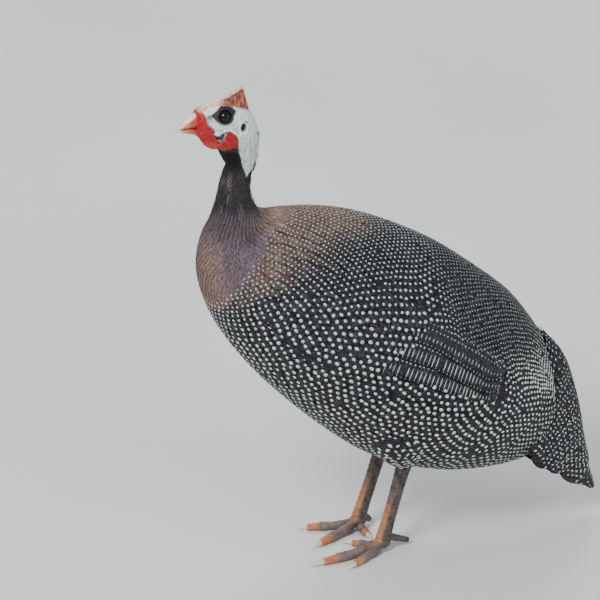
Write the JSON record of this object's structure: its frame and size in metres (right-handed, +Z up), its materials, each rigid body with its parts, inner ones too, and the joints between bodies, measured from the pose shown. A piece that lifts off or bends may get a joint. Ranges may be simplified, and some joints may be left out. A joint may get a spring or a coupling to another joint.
{
  "type": "guinea fowl model",
  "caption": "Life-size still model of a helmeted guinea fowl standing on both feet, with folded wings, drooping tail, bony helmet and red wattles.",
  "frame": {"origin": "on the floor, under the middle of the bird's length and width", "axes": "+Z up, the bird faces -Y, +X is its left side"},
  "size_m": [0.1754, 0.3808, 0.443],
  "materials": {
    "plumage": "charcoal feathers with white pearl spots, matte",
    "neck_plumage": "short dark neck feathers, matte",
    "face_skin": "bare pale blue-white skin, satin",
    "wattle_skin": "bare red skin, satin",
    "helmet_horn": "bony horn, tan to red-brown, satin",
    "bill_horn": "horn, pink-tan to cream at the tip, satin",
    "eye": "near-black brown, wet gloss",
    "leg_scales": "grey-brown scales with orange toe pads, satin",
    "claw_horn": "ivory horn, satin"
  },
  "bodies": {
    "root": {"torso": "plumage", "neck": "neck_plumage", "head": "face_skin", "helmet": "helmet_horn", "bill_upper": "bill_horn", "bill_lower": "bill_horn", "eye_left": "eye", "eye_right": "eye", "wattle_left": "wattle_skin", "wattle_right": "wattle_skin", "wing_left": "plumage", "wing_right": "plumage", "tail": "plumage", "thigh_left": "plumage", "thigh_right": "plumage", "shank_left": "leg_scales", "shank_right": "leg_scales", "toe_middle_left": "leg_scales", "toe_outer_left": "leg_scales", "toe_inner_left": "leg_scales", "toe_hind_left": "leg_scales", "toe_middle_right": "leg_scales", "toe_outer_right": "leg_scales", "toe_inner_right": "leg_scales", "toe_hind_right": "leg_scales", "claw_middle_left": "claw_horn", "claw_outer_left": "claw_horn", "claw_inner_left": "claw_horn", "claw_hind_left": "claw_horn", "claw_middle_right": "claw_horn", "claw_outer_right": "claw_horn", "claw_inner_right": "claw_horn", "claw_hind_right": "claw_horn"}
  },
  "joints": []
}
